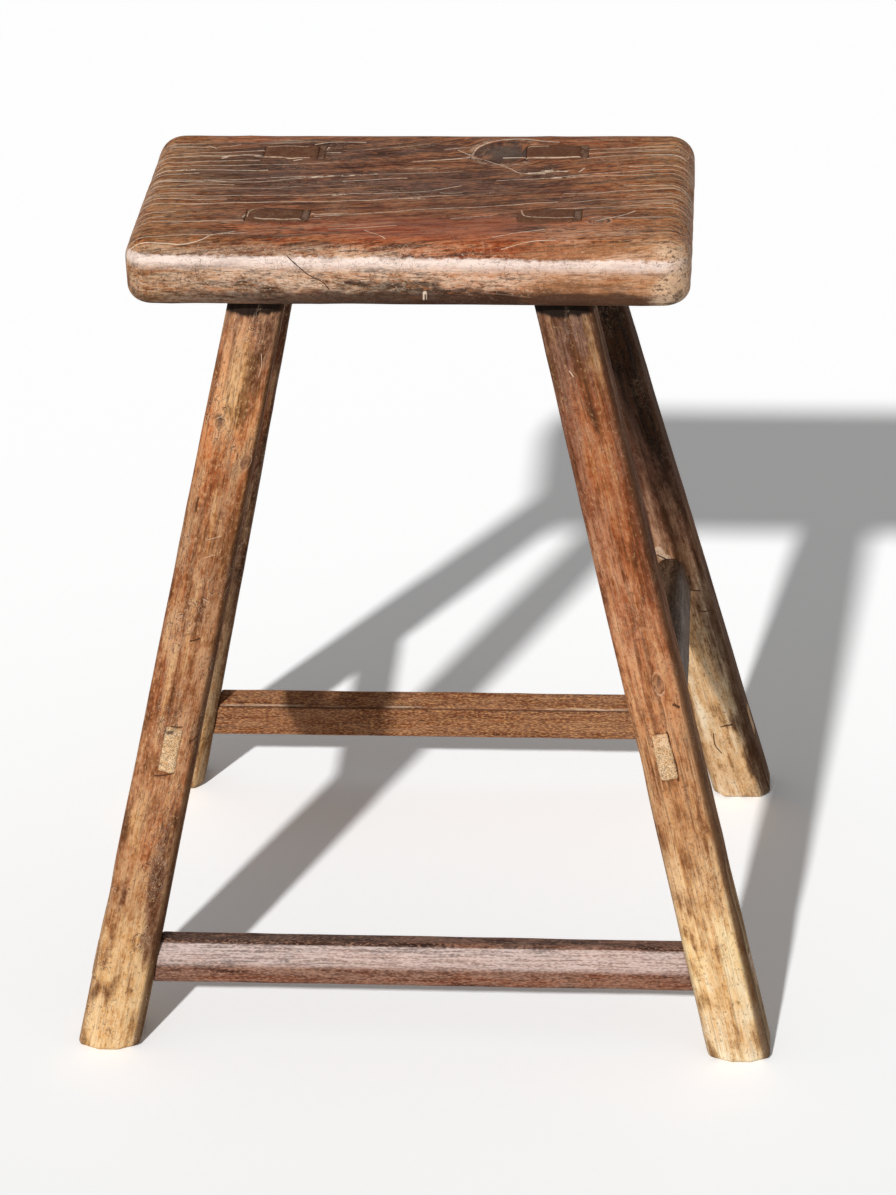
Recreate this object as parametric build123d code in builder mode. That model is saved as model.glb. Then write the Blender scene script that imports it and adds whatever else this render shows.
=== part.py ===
"""A workman's stool: a thick dished plank on four splayed legs.

Every leg ends in a slanted tenon that runs right through the seat, where a thin wedge tightens it.
Two low stretchers tie the legs from side to side, and two higher ones tie them from front to back.
Their tenons run through the legs and end flush with the outer faces.

Millimetres. +X runs along the seat, +Y to the back and +Z up. The origin is on the floor, under the
middle of the seat.
"""
from build123d import *
from math import asin, degrees, hypot, sqrt
import os

os.makedirs("parts", exist_ok=True)

# Seat plank
stool_height = 510.0  # floor to the rim of the seat
seat_length = 326.0  # along X
seat_depth = 174.0  # along Y
seat_thickness = 40.5
seat_corner_radius = 16.0  # corners seen from above
seat_top_roundover = 14.0
seat_bottom_roundover = 10.0
dish_depth = 3.0  # worn hollow in the middle of the top
dish_half_length = 150.0  # where the hollow runs out, along X
dish_half_width = 74.0  # where the hollow runs out, along Y

# Legs: the centre of the level section, where it meets the seat and on the floor
leg_top_x = 88.0
leg_top_y = 54.5
foot_x = 196.0
foot_y = 151.0
leg_top_width = 34.0  # along X
leg_top_depth = 35.0  # along Y
foot_width = 39.0
foot_depth = 37.0
leg_crown_share = 0.33  # the outer face is hewn in three flats, and the middle one has this share of it
leg_crown_fall = 5.3  # how far the outer flats fall back at the corners
leg_crown_radius = 25.0  # blends the three flats
leg_chamfer = 7.0  # inner corners
leg_edge_radius = 5.0
foot_chamfer = 3.0

# Seat tenons and their wedges
seat_tenon_length = 33.0  # along X
seat_tenon_thickness = 18.0  # along Y
seat_tenon_offset = 6.0  # the tenons are sawn behind the legs' centre lines
seat_tenon_root = 12.0  # how far the bar that forms the tenon starts below the seat
trim_allowance = 3.0  # tenons and wedges stand this far above the seat until they are trimmed flush
tenon_wedge_thick_end = 4.0  # just above the seat
tenon_wedge_thin_end = 0.8
tenon_wedge_depth = 34.0  # how far the wedge is driven down beside the tenon

# Stretchers: height of the section's centre above the floor, height and thickness of the section
front_stretcher_level = 52.5
front_stretcher_height = 28.5
front_stretcher_thickness = 17.0
front_stretcher_crown = 3.0  # its outer face is rounded
rear_stretcher_level = 61.0
rear_stretcher_height = 27.5
rear_stretcher_thickness = 18.0
side_stretcher_level = 196.0
side_stretcher_height = 30.0
side_stretcher_thickness = 19.0
side_stretcher_top_radius = 8.0
side_stretcher_inset = 2.0  # from the legs' centre lines towards the middle
stretcher_edge_radius = 2.5

# Tenons of the stretchers
low_tenon_height = 23.0
side_tenon_height = 28.0
stretcher_tenon_thickness = 9.5
stretcher_wedge_thick_end = 8.0  # at the leg's outer face
stretcher_wedge_thin_end = 2.5
stretcher_wedge_depth = 27.0

seat_underside = stool_height - seat_thickness
lean_x = (foot_x - leg_top_x) / seat_underside  # how far a leg leans along X for each mm of height
lean_y = (foot_y - leg_top_y) / seat_underside
reach = foot_x + foot_width  # past every leg, used as the length of cutting prisms

LEFT, RIGHT = -1, 1
FRONT, REAR = -1, 1
corners = {
    "front_left": (LEFT, FRONT),
    "front_right": (RIGHT, FRONT),
    "rear_left": (LEFT, REAR),
    "rear_right": (RIGHT, REAR),
}


def leg_centre(height, side_x, side_y):
    """Point on a leg's centre line at a height. The line is straight and runs on through the seat."""
    return Vector(side_x * (foot_x - lean_x * height), side_y * (foot_y - lean_y * height), height)


def tenon_centre(height, side_x, side_y):
    """Point on a seat tenon's centre line at a height. It runs behind the leg's own line."""
    return leg_centre(height, side_x, side_y) + Vector(0, seat_tenon_offset, 0)


def level_plane(height, side_x, side_y):
    """Level plane on a leg's centre line, turned so that its -Y side is the leg's outer face."""
    return Plane(origin=leg_centre(height, side_x, side_y), x_dir=(-side_y, 0, 0), z_dir=(0, 0, 1))


def tapering_face(foot_spot, top_spot, level_direction, side_x, side_y):
    """Plane of one flat face of a leg, through a spot of its foot section and one of its top section.

    The spots are places in the level sections, and level_direction is the face's own level line there.
    """
    foot_plane = level_plane(0, side_x, side_y)
    top_plane = level_plane(seat_underside, side_x, side_y)
    foot_point = foot_plane.from_local_coords(Vector(*foot_spot))
    top_point = top_plane.from_local_coords(Vector(*top_spot))
    along = foot_plane.from_local_coords(Vector(*level_direction)) - foot_plane.origin
    return Plane(origin=foot_point, x_dir=along, z_dir=along.cross(top_point - foot_point))


def dish_cutter():
    """Waste above the worn hollow: a shallow arc swung about a far axis, so it curves both ways."""
    swing_radius = (dish_half_length**2 + dish_depth**2) / (2 * dish_depth)
    swing_axis = Axis((0, 0, stool_height - dish_depth + swing_radius), (0, 1, 0))
    half_swing = degrees(asin(dish_half_length / swing_radius))
    margin = 1.2  # the waste runs past the hollow's rim by this share
    rim_rise = dish_depth * (margin**2 - 1)
    with BuildPart() as waste:
        with BuildSketch(Plane.YZ):
            with BuildLine():
                hollow = ThreePointArc(
                    (-dish_half_width * margin, stool_height + rim_rise),
                    (0, stool_height - dish_depth),
                    (dish_half_width * margin, stool_height + rim_rise),
                )
                above = Vector(0, 2 * trim_allowance, 0)
                Polyline(hollow @ 1, hollow @ 1 + above, hollow @ 0 + above, hollow @ 0)
            make_face()
        revolve(axis=swing_axis, revolution_arc=2 * half_swing * margin)
    return waste.part.rotate(swing_axis, -half_swing * margin)


def seat_tenon(side_x, side_y):
    """Slanted bar along a leg, from inside the leg to just above the seat."""
    root = tenon_centre(seat_underside - seat_tenon_root, side_x, side_y)
    tip = tenon_centre(stool_height + trim_allowance, side_x, side_y)
    with BuildPart() as tenon:
        with BuildSketch(Plane(origin=root)):
            Rectangle(seat_tenon_length, seat_tenon_thickness)
        extrude(amount=(tip - root).length, dir=tip - root)
    return tenon.part


def leg_blank(side_x, side_y):
    """A leg before its mortises: tapered body, rounded foot and the slanted tenon for the seat."""
    foot_half = foot_width / 2
    top_half = leg_top_width / 2
    foot_inner = foot_depth / 2
    top_inner = leg_top_depth / 2
    foot_crown = leg_crown_share * foot_half
    top_crown = leg_crown_share * top_half
    crown_run = foot_half - foot_crown
    flats = [
        ((foot_half, 0), (top_half, 0), (0, 1)),
        ((-foot_half, 0), (-top_half, 0), (0, -1)),
        ((0, foot_inner), (0, top_inner), (-1, 0)),
        ((foot_half - leg_chamfer, foot_inner), (top_half - leg_chamfer, top_inner), (-1, 1)),
        ((leg_chamfer - foot_half, foot_inner), (leg_chamfer - top_half, top_inner), (-1, -1)),
        ((0, -foot_inner), (0, -top_inner), (1, 0)),
        ((foot_crown, -foot_inner), (top_crown, -top_inner), (crown_run, leg_crown_fall)),
        ((-foot_crown, -foot_inner), (-top_crown, -top_inner), (crown_run, -leg_crown_fall)),
    ]
    rise = leg_centre(seat_underside, side_x, side_y) - leg_centre(0, side_x, side_y)
    with BuildPart() as blank:
        with BuildSketch(level_plane(0, side_x, side_y)):
            Rectangle(2 * foot_width, 2 * foot_depth)
        extrude(amount=rise.length, dir=rise)
        for foot_spot, top_spot, level_direction in flats:
            face = tapering_face(foot_spot, top_spot, level_direction, side_x, side_y)
            split(bisect_by=face, keep=Keep.BOTTOM)
        sole = blank.faces().sort_by(Axis.Z)[0]
        chamfer(sole.edges(), foot_chamfer)
        long_edges = blank.edges().filter_by(lambda edge: edge.length > seat_underside / 2)
        outward = long_edges.sort_by(Axis((0, 0, 0), (0, side_y, 0)))
        crown_edges = outward[-2:]
        corner_edges = outward[:-2]
        fillet(crown_edges, leg_crown_radius)
        fillet(corner_edges, leg_edge_radius)
        add(seat_tenon(side_x, side_y))
        add(trimmings.part, mode=Mode.SUBTRACT)
    return blank.part


def tenon_wedge(side_x, side_y):
    """Thin wedge beside a seat tenon, on its right: thick above, thin below, not yet trimmed."""
    thin_end = tenon_centre(stool_height - tenon_wedge_depth, side_x, side_y)
    thick_end = tenon_centre(stool_height + trim_allowance, side_x, side_y)
    drive = thick_end - thin_end
    side_view = Plane(origin=thin_end, x_dir=(1, 0, 0), z_dir=Vector(1, 0, 0).cross(drive))
    length = hypot(drive.Y, drive.Z)
    inner_x = seat_tenon_length / 2
    with BuildPart() as wedge:
        with BuildSketch(side_view):
            with BuildLine():
                Polyline(
                    (inner_x, 0),
                    (inner_x + tenon_wedge_thin_end, 0),
                    (inner_x + drive.X + tenon_wedge_thick_end, length),
                    (inner_x + drive.X, length),
                    close=True,
                )
            make_face()
        extrude(amount=seat_tenon_thickness / 2, dir=(0, 1, 0), both=True)
    return wedge.part


def stretcher_plane(level, side, along_x):
    """Upright plane across a stretcher's middle, tipped to lie along the legs that it joins."""
    if along_x:
        centre = Vector(0, side * (foot_y - lean_y * level), level)
        return Plane(origin=centre, x_dir=(0, side, lean_y), z_dir=(side, 0, 0))
    centre = Vector(side * (foot_x - lean_x * level - side_stretcher_inset), 0, level)
    return Plane(origin=centre, x_dir=(side, 0, lean_x), z_dir=(0, -side, 0))


def front_section():
    """Front stretcher: flat top, back and underside, and a gently rounded outer face."""
    outer = front_stretcher_thickness / 2
    edge = outer - front_stretcher_crown
    half = front_stretcher_height / 2
    with BuildSketch() as section:
        with BuildLine():
            face = ThreePointArc((edge, -half), (outer, 0), (edge, half))
            Polyline(face @ 1, (-outer, half), (-outer, -half), face @ 0)
        make_face()
        fillet(section.vertices(), stretcher_edge_radius)
    return section.sketch


def rear_section():
    """Rear stretcher: a plain batten with softened edges."""
    with BuildSketch() as section:
        RectangleRounded(rear_stretcher_thickness, rear_stretcher_height, stretcher_edge_radius)
    return section.sketch


def side_section():
    """Side stretcher: a batten with a well rounded top."""
    with BuildSketch() as section:
        Rectangle(side_stretcher_thickness, side_stretcher_height)
        fillet(section.vertices().group_by(Axis.Y)[-1], side_stretcher_top_radius)
        fillet(section.vertices().group_by(Axis.Y)[0], stretcher_edge_radius)
    return section.sketch


def tenon_prism(plane, tenon_height):
    """Straight bar of a stretcher's tenon section, long enough to pass through both of its legs."""
    with BuildPart() as prism:
        with BuildSketch(plane):
            Rectangle(stretcher_tenon_thickness, tenon_height)
        extrude(amount=reach, both=True)
    return prism.part


def stretcher(section, plane, length, tenons, ends):
    """A stretcher between two legs: shoulders cut to their faces, tenons flush with the far sides."""
    with BuildPart() as batten:
        with BuildSketch(plane):
            add(section)
        extrude(amount=length / 2, both=True)
        for end in ends:
            add(blanks[end], mode=Mode.SUBTRACT)
    for end in ends:
        with BuildPart() as tenon:
            add(tenons)
            add(blanks[end], mode=Mode.INTERSECT)
        with batten:
            add(tenon.part)
    return batten.part


# Everything above the finished seat: over the hollow, and over the level rim round it
with BuildPart() as trimmings:
    add(dish_cutter())
    with BuildSketch(Plane.XY.offset(stool_height)):
        Rectangle(seat_length, seat_depth)
    extrude(amount=2 * trim_allowance)

blanks = {corner: leg_blank(*sides) for corner, sides in corners.items()}
wedges = {corner: tenon_wedge(*sides) for corner, sides in corners.items()}

# Front and rear stretchers run along X, and the left and right ones along Y
low_span = 2 * (foot_x - lean_x * front_stretcher_level)
side_span = 2 * (foot_y - lean_y * side_stretcher_level)
runs = {
    "front_stretcher": (
        front_section(),
        stretcher_plane(front_stretcher_level, FRONT, True),
        low_span,
        low_tenon_height,
        ("front_left", "front_right"),
    ),
    "rear_stretcher": (
        rear_section(),
        stretcher_plane(rear_stretcher_level, REAR, True),
        low_span,
        low_tenon_height,
        ("rear_left", "rear_right"),
    ),
    "left_stretcher": (
        side_section(),
        stretcher_plane(side_stretcher_level, LEFT, False),
        side_span,
        side_tenon_height,
        ("front_left", "rear_left"),
    ),
    "right_stretcher": (
        side_section(),
        stretcher_plane(side_stretcher_level, RIGHT, False),
        side_span,
        side_tenon_height,
        ("front_right", "rear_right"),
    ),
}
prisms = {}
stretchers = {}
for name, (section, plane, span, tenon_height, ends) in runs.items():
    prisms[name] = tenon_prism(plane, tenon_height)
    stretchers[name] = stretcher(section, plane, span, prisms[name], ends)

# The right stretcher's front tenon is short of its mortise at the top, and a wedge fills the gap
right_plane = stretcher_plane(side_stretcher_level, RIGHT, False)
front_right_leg_y = leg_centre(side_stretcher_level, RIGHT, FRONT).Y
outer_y = front_right_leg_y - foot_depth / 2
inner_y = outer_y + stretcher_wedge_depth
tenon_top = side_tenon_height / 2
with BuildPart() as wedge_bar:
    side_view = Plane(origin=right_plane.origin, x_dir=(0, 1, 0), z_dir=right_plane.x_dir)
    with BuildSketch(side_view):
        with BuildLine():
            Polyline(
                (outer_y, tenon_top),
                (inner_y, tenon_top),
                (inner_y, tenon_top - stretcher_wedge_thin_end),
                (outer_y, tenon_top - stretcher_wedge_thick_end),
                close=True,
            )
        make_face()
    extrude(amount=stretcher_tenon_thickness / 2, both=True)

with BuildPart() as right_stretcher_wedge:
    add(wedge_bar.part)
    add(blanks["front_right"], mode=Mode.INTERSECT)

with BuildPart() as right_stretcher:
    add(stretchers["right_stretcher"])
    add(right_stretcher_wedge.part, mode=Mode.SUBTRACT)
stretchers["right_stretcher"] = right_stretcher.part

# Seat plank: rounded board, the four flared mortises, then the worn hollow
with BuildPart() as seat_plank:
    with BuildSketch(Plane.XY.offset(seat_underside)):
        RectangleRounded(seat_length, seat_depth, seat_corner_radius)
    extrude(amount=seat_thickness)
    fillet(seat_plank.faces().sort_by(Axis.Z)[-1].edges(), seat_top_roundover)
    fillet(seat_plank.faces().sort_by(Axis.Z)[0].edges(), seat_bottom_roundover)
    for corner, sides in corners.items():
        add(seat_tenon(*sides), mode=Mode.SUBTRACT)
        add(wedges[corner], mode=Mode.SUBTRACT)
    add(trimmings.part, mode=Mode.SUBTRACT)

# Legs: each blank loses the mortises of the two stretchers that meet it
legs = {}
for corner in corners:
    with BuildPart() as leg:
        add(blanks[corner])
        for name, (section, plane, span, tenon_height, ends) in runs.items():
            if corner in ends:
                add(prisms[name], mode=Mode.SUBTRACT)
    legs[corner] = leg.part

# Name every piece and write it out
pieces = {"seat_plank": seat_plank.part, "right_stretcher_wedge": right_stretcher_wedge.part}
for corner in corners:
    pieces[corner + "_leg"] = legs[corner]
    with BuildPart() as trimmed_wedge:
        add(wedges[corner])
        add(trimmings.part, mode=Mode.SUBTRACT)
    pieces[corner + "_tenon_wedge"] = trimmed_wedge.part
pieces.update(stretchers)
for name, piece in pieces.items():
    piece.label = name
    export_step(piece, f"parts/{name}.step")
    print(name, [round(size, 1) for size in piece.bounding_box().size])
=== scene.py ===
# %% [markdown]
# # A workman's stool in old wood
#
# The stool is a thick plank on four splayed legs, tied by two low stretchers and two higher ones.
# Its joints and sizes come from the CAD model, which is loaded first and stays where it is. Blender's
# share is what many years of use did to it: hewn faces that are never quite flat, knots, drying
# cracks, dark handled patches and pale bare wood.

# %% Load the packed model
import math

import bpy
import numpy as np
from mathutils import Matrix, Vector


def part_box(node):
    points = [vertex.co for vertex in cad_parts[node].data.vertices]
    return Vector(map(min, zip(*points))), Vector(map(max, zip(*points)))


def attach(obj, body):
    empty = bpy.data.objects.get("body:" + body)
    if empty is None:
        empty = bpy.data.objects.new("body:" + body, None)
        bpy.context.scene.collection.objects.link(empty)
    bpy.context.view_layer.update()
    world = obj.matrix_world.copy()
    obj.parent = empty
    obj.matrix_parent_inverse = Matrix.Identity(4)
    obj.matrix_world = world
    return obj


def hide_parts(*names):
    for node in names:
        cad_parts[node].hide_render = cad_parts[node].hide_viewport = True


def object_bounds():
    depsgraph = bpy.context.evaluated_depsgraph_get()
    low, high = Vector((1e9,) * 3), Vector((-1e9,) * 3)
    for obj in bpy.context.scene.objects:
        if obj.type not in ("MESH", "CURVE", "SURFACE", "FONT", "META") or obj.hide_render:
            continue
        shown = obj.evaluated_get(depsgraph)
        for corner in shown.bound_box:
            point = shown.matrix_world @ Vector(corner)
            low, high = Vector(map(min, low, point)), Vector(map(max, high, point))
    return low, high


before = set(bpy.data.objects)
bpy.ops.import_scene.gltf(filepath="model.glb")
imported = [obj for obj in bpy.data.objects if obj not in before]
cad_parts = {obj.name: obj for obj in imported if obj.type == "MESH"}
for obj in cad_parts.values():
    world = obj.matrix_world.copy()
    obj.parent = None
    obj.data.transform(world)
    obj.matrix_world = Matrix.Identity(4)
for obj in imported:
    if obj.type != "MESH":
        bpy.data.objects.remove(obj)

cad_low, cad_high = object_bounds()
print("CAD box in metres", [round(v, 4) for v in (*cad_low, *cad_high)])
scene = bpy.context.scene

# %% [markdown]
# ## Camera
#
# The photograph looks down at the stool from a standing height with a long lens. Three turns set the
# camera: how far it swings to the left, how far it tips down, and a small roll. A matrix made of those
# three turns says the view exactly, where aiming a camera at a target would leave the roll open.

# %% Camera
camera_place = (0.19346, -2.00104, 1.36710)
camera_swing = math.radians(5.2167)
camera_tip = math.radians(29.4777)
camera_roll = math.radians(1.9536)
camera_lens = 111.155

camera = bpy.data.objects.new("camera", bpy.data.cameras.new("camera"))
scene.collection.objects.link(camera)
camera.data.lens = camera_lens
camera.matrix_world = (
    Matrix.Translation(camera_place)
    @ Matrix.Rotation(camera_swing, 4, "Z")
    @ Matrix.Rotation(math.radians(90) - camera_tip, 4, "X")
    @ Matrix.Rotation(-camera_roll, 4, "Z")
)
scene.camera = camera
print("camera at", camera_place, "lens", camera_lens)

# %% [markdown]
# ## Light
#
# In the photograph one hard sun stands in front of the stool, a little to the left. Its studio copy is
# a sun lamp a few times wider than the real sun, so that the far shadows get soft edges. An even white
# world, made below, fills them. Together they light a surface that faces the lamp by about one, so
# colours show as written.

# %% Lamp
sun_energy, sun_angle = 2.85, 2.2
sun_towards = (-0.404, -1.267, 1.0)
sun = bpy.data.objects.new("key_light", bpy.data.lights.new("key_light", "SUN"))
scene.collection.objects.link(sun)
sun.data.energy = sun_energy
sun.data.angle = math.radians(sun_angle)
level = math.hypot(sun_towards[0], sun_towards[1])
sun.rotation_euler = (
    math.atan2(level, sun_towards[2]),
    0,
    math.atan2(sun_towards[1], sun_towards[0]) + math.radians(90),
)

scene.view_settings.view_transform = "Standard"
print("sun energy", sun_energy, "angle", sun_angle)

# %% [markdown]
# ## Node recipes
#
# Every finish here is a network of nodes. Wiring it by hand in Python is slow to read, so a small
# class wires the nodes of one material, and a second one gives each common step a plain name, such as
# noise, band or paint.

# %% Wiring of nodes
MM = 0.001


def colour(red, green, blue):
    return (red, green, blue, 1.0)


class Wiring:
    """Adds nodes to one material, or to the world."""

    def __init__(self, owner):
        self.owner = owner
        self.owner.use_nodes = True
        self.tree = self.owner.node_tree

    def node(self, kind, feeds, output=0, **options):
        """A new node: sockets are linked, plain values are set."""
        made = self.tree.nodes.new("ShaderNode" + kind)
        for option, choice in options.items():
            setattr(made, option, choice)
        for key, feed in feeds.items():
            if isinstance(feed, bpy.types.NodeSocket):
                self.tree.links.new(feed, made.inputs[key])
            else:
                made.inputs[key].default_value = feed
        return made.outputs[output]

    def read(self, attribute, output="Vector"):
        """A value that the mesh carries at its points."""
        return self.node("Attribute", {}, output, attribute_name=attribute)

    def calc(self, operation, *values):
        return self.node("Math", dict(enumerate(values)), operation=operation)

    def product(self, value, *others):
        for other in others:
            value = self.calc("MULTIPLY", value, other)
        return value

    def total(self, parts, start):
        """Adds up noises, each taken from its middle value and weighed."""
        for value, weight in parts:
            start = self.calc("MULTIPLY_ADD", self.calc("SUBTRACT", value, 0.5), weight, start)
        return start

    def off(self, value, middle=0.5):
        """How far a value lies from its middle value, on either side."""
        return self.calc("ABSOLUTE", self.calc("SUBTRACT", value, middle))


print("wiring has", ", ".join(name for name in vars(Wiring) if not name.startswith("_")))

# %% Noises, bands and colours
class Recipe(Wiring):
    """The steps that every finish is made of."""

    def noise(self, where, scale, detail=2.0, roughness=0.5):
        """Smooth noise from 0 to 1. The scale is its number of waves to a metre in each direction."""
        stretched = self.node("VectorMath", {0: where, 1: scale}, operation="MULTIPLY")
        feeds = {"Vector": stretched, "Scale": 1.0, "Detail": detail, "Roughness": roughness}
        return self.node("TexNoise", feeds, "Fac")

    def band(self, value, low, high, start=0.0, end=1.0):
        """Start at low, end at high, and a smooth change between."""
        feeds = {"Value": value, "From Min": low, "From Max": high, "To Min": start, "To Max": end}
        return self.node("MapRange", feeds, interpolation_type="SMOOTHSTEP")

    def band_mm(self, value, low, high, start=0.0, end=1.0):
        """A band of a length, with its low and high in mm."""
        return self.band(value, low * MM, high * MM, start, end)

    def strip_mm(self, value, low, full, full_end, high):
        """1 from full to full_end, and 0 below low and above high, in mm."""
        return self.product(self.band_mm(value, low, full), self.band_mm(value, high, full_end))

    def paint(self, under, over, amount):
        """Lays one colour over another."""
        return self.node("Mix", {0: amount, 6: under, 7: over}, 2, data_type="RGBA")

    def ramp(self, value, stops):
        """A colour for each value, blended between stops of (value, colour)."""
        output = self.node("ValToRGB", {0: value})
        elements = output.node.color_ramp.elements
        while len(elements) < len(stops):
            elements.new(0.5)
        for element, (position, tint) in zip(elements, stops):
            element.position = position
            element.color = tint
        return output


print("a recipe adds", ", ".join(name for name in vars(Recipe) if not name.startswith("_")))

# %% [markdown]
# ## Floor and background
#
# The floor is plain and near white, a little greyer towards the viewer, as the photograph's paper
# sweep is. It only has to catch the shadow. Both it and the world behind it look whiter to the camera
# and in reflections than they are to the light that bounces about, so the background turns white
# without any more light on the wood.

# %% World, white to the rays that show it
def shown_to(recipe):
    """1 for rays from the camera, a reflection or a glass, and 0 for light that bounces."""
    rays = recipe.node("LightPath", {}).node.outputs
    shown = recipe.calc("MAXIMUM", rays["Is Camera Ray"], rays["Is Glossy Ray"])
    return recipe.calc("MAXIMUM", shown, rays["Is Transmission Ray"])


fill_light = 0.265
white_light = 1.0
scene.world = bpy.data.worlds.new("studio")
sky = Recipe(scene.world)
sky_strength = sky.band(shown_to(sky), 0.0, 1.0, fill_light, white_light)
background = sky.tree.nodes["Background"].inputs
background["Color"].default_value = colour(1.0, 1.0, 1.0)
sky.tree.links.new(sky_strength, background["Strength"])
print("fill light", fill_light)

# %% Floor
floor_half = 9.0
floor_mesh = bpy.data.meshes.new("floor")
floor_corners = [(side_x * floor_half, side_y * floor_half, 0) for side_x in (-1, 1) for side_y in (-1, 1)]
floor_mesh.from_pydata(floor_corners, [], [(0, 2, 3, 1)])
floor = bpy.data.objects.new("floor", floor_mesh)
scene.collection.objects.link(floor)

paper = Recipe(bpy.data.materials.new("floor_paper"))
spot = paper.node("TexCoord", {}, "Object")
towards_back = paper.node("SeparateXYZ", {0: spot}, 1)
shade = paper.band(towards_back, -0.5, 0.5)
seen_colour = paper.paint(colour(1.112, 1.12, 1.124), colour(1.218, 1.22, 1.22), shade)
paper_colour = paper.paint(colour(0.80, 0.80, 0.80), seen_colour, shown_to(paper))
diffuse = paper.node("BsdfDiffuse", {"Color": paper_colour})
paper.tree.links.new(diffuse, paper.tree.nodes["Material Output"].inputs["Surface"])
floor_mesh.materials.append(paper.owner)
print("floor is", 2 * floor_half, "m wide")

# %% [markdown]
# ## Where each piece lies
#
# Grain runs along a piece, whichever way the piece leans. So every point of a piece gets three
# measures of its own: along the piece, across its outer face, and out from its middle. On the legs
# these follow the leaning centre line, which is worked out from the same sizes as the CAD model.

# %% Measures along, across and out
stool_height = 510 * MM
seat_underside = (510 - 40.5) * MM
foot_x, foot_y = 196 * MM, 151 * MM
lean_x = (196 - 88) * MM / seat_underside
lean_y = (151 - 54.5) * MM / seat_underside
levels = {
    "front_stretcher": 52.5 * MM,
    "rear_stretcher": 61 * MM,
    "left_stretcher": 196 * MM,
    "right_stretcher": 196 * MM,
    "right_stretcher_wedge": 196 * MM,
}


def family(node):
    """Which way a node runs: seat, leg, low stretcher or side stretcher."""
    if node == "seat_plank":
        return "seat"
    if node.endswith(("_leg", "_tenon_wedge")):
        return "leg"
    return "low" if node in ("front_stretcher", "rear_stretcher") else "side"


def measures(node, points):
    """Along, across and out for each point of a node, in metres."""
    x, y, z = points.T
    side_x = -1 if "left" in node else 1
    side_y = -1 if "front" in node else 1
    middle_x, middle_y = foot_x - lean_x * z, foot_y - lean_y * z
    if family(node) == "seat":
        columns = [x, y, z - stool_height]
    elif family(node) == "leg":
        columns = [z, x - side_x * middle_x, side_y * y - middle_y]
    elif family(node) == "low":
        columns = [x, z - levels[node], side_y * y - middle_y]
    else:
        columns = [y, z - levels[node], side_x * x - middle_x]
    return np.stack(columns, axis=1)


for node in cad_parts:
    low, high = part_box(node)
    print(node, family(node), [round(v * 1000) for v in high - low])

# %% [markdown]
# ## Noise for shaping
#
# Shaping needs noise that is smooth, the same on every run, and can be stretched along the grain.
# Random numbers on a lattice, blended between the eight nearest corners, give all three.

# %% Noise on a lattice
def lattice_noise(points, cell, seed):
    """Smooth noise from -1 to 1. The cell is its size along each direction."""
    size = 32
    table = np.random.default_rng(seed).uniform(-1, 1, (size, size, size))
    scaled = points / np.asarray(cell)
    corner = np.floor(scaled).astype(int)
    share = scaled - corner
    share = share * share * (3 - 2 * share)
    total = np.zeros(len(points))
    for step in np.ndindex(2, 2, 2):
        weight = np.prod(np.where(step, share, 1 - share), axis=1)
        i, j, k = ((corner + step) % size).T
        total += weight * table[i, j, k]
    return total


sample = lattice_noise(np.linspace((0, 0, 0), (1, 2, 3), 1000), (0.1, 0.1, 0.1), 1)
print("noise from", round(sample.min(), 2), "to", round(sample.max(), 2))

# %% [markdown]
# ## Carving a piece
#
# A CAD solid has perfect faces. To wear it, a copy is remeshed into small even facets, and then its
# points are moved along their normals: long slow waves for wood that was hewn by eye and has warped,
# shallow scoops from the adze, and single dents at chosen places. Sculpting by hand would do the same
# but could not be repeated exactly.

# %% Remesh a copy of a node
def remeshed_copy(node, piece_name, facet):
    """A copy of a node with even facets of one size."""
    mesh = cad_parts[node].data.copy()
    piece = bpy.data.objects.new(piece_name, mesh)
    scene.collection.objects.link(piece)
    remesh = piece.modifiers.new("facets", "REMESH")
    remesh.mode = "VOXEL"
    remesh.voxel_size = facet
    shaped = bpy.data.meshes.new_from_object(piece.evaluated_get(bpy.context.evaluated_depsgraph_get()))
    piece.modifiers.clear()
    piece.data = shaped
    shaped.materials.clear()
    shaped.shade_smooth()
    return piece


def get_points(mesh, what="co"):
    """The places of a mesh's points, or their normals."""
    flat = np.empty(len(mesh.vertices) * 3, np.float32)
    mesh.vertices.foreach_get(what, flat)
    return flat.reshape(-1, 3).astype(float)


def set_points(mesh, points):
    mesh.vertices.foreach_set("co", points.astype(np.float32).ravel())
    mesh.update()


print("the seat has", len(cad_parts["seat_plank"].data.polygons), "faces before it is remeshed")

# %% Wear the faces
long_waves, short_waves, adze_marks = (0.11, 0.045, 0.045), (0.04, 0.02, 0.02), (0.03, 0.013, 0.013)
swollen_from = {"seat": 999, "leg": 500, "low": 196, "side": 121}
swelling = 0.5 * MM


def at_tenon_end(node, place):
    """1 in the last few mm of a tenon or wedge, where damp has swollen it tight in its mortise."""
    return np.clip((np.abs(place[:, 0]) - swollen_from[family(node)] * MM) / (3 * MM), 0, 1)


def wear(node, piece, waves, scoops, dents, seed):
    """Moves the points of a remeshed piece. Dents are (along, across, out, radius, depth) in mm."""
    points = get_points(piece.data)
    normals = get_points(piece.data, "normal")
    place = measures(node, points)
    lift = waves * lattice_noise(place, long_waves, seed)
    lift += 0.35 * waves * lattice_noise(place, short_waves, seed + 1)
    lift -= scoops * np.abs(lattice_noise(place, adze_marks, seed + 2))
    for along, across, out, radius, depth in dents:
        gap = np.linalg.norm(place - np.array([along, across, out]) * MM, axis=1) / (radius * MM)
        lift -= depth * MM * np.exp(-gap**2)
    lift += swelling * at_tenon_end(node, place)
    points += normals * lift[:, None]
    set_points(piece.data, np.clip(points, np.array(cad_low), np.array(cad_high)))


print("wood swells by", swelling / MM, "mm at the tenon ends")

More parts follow.
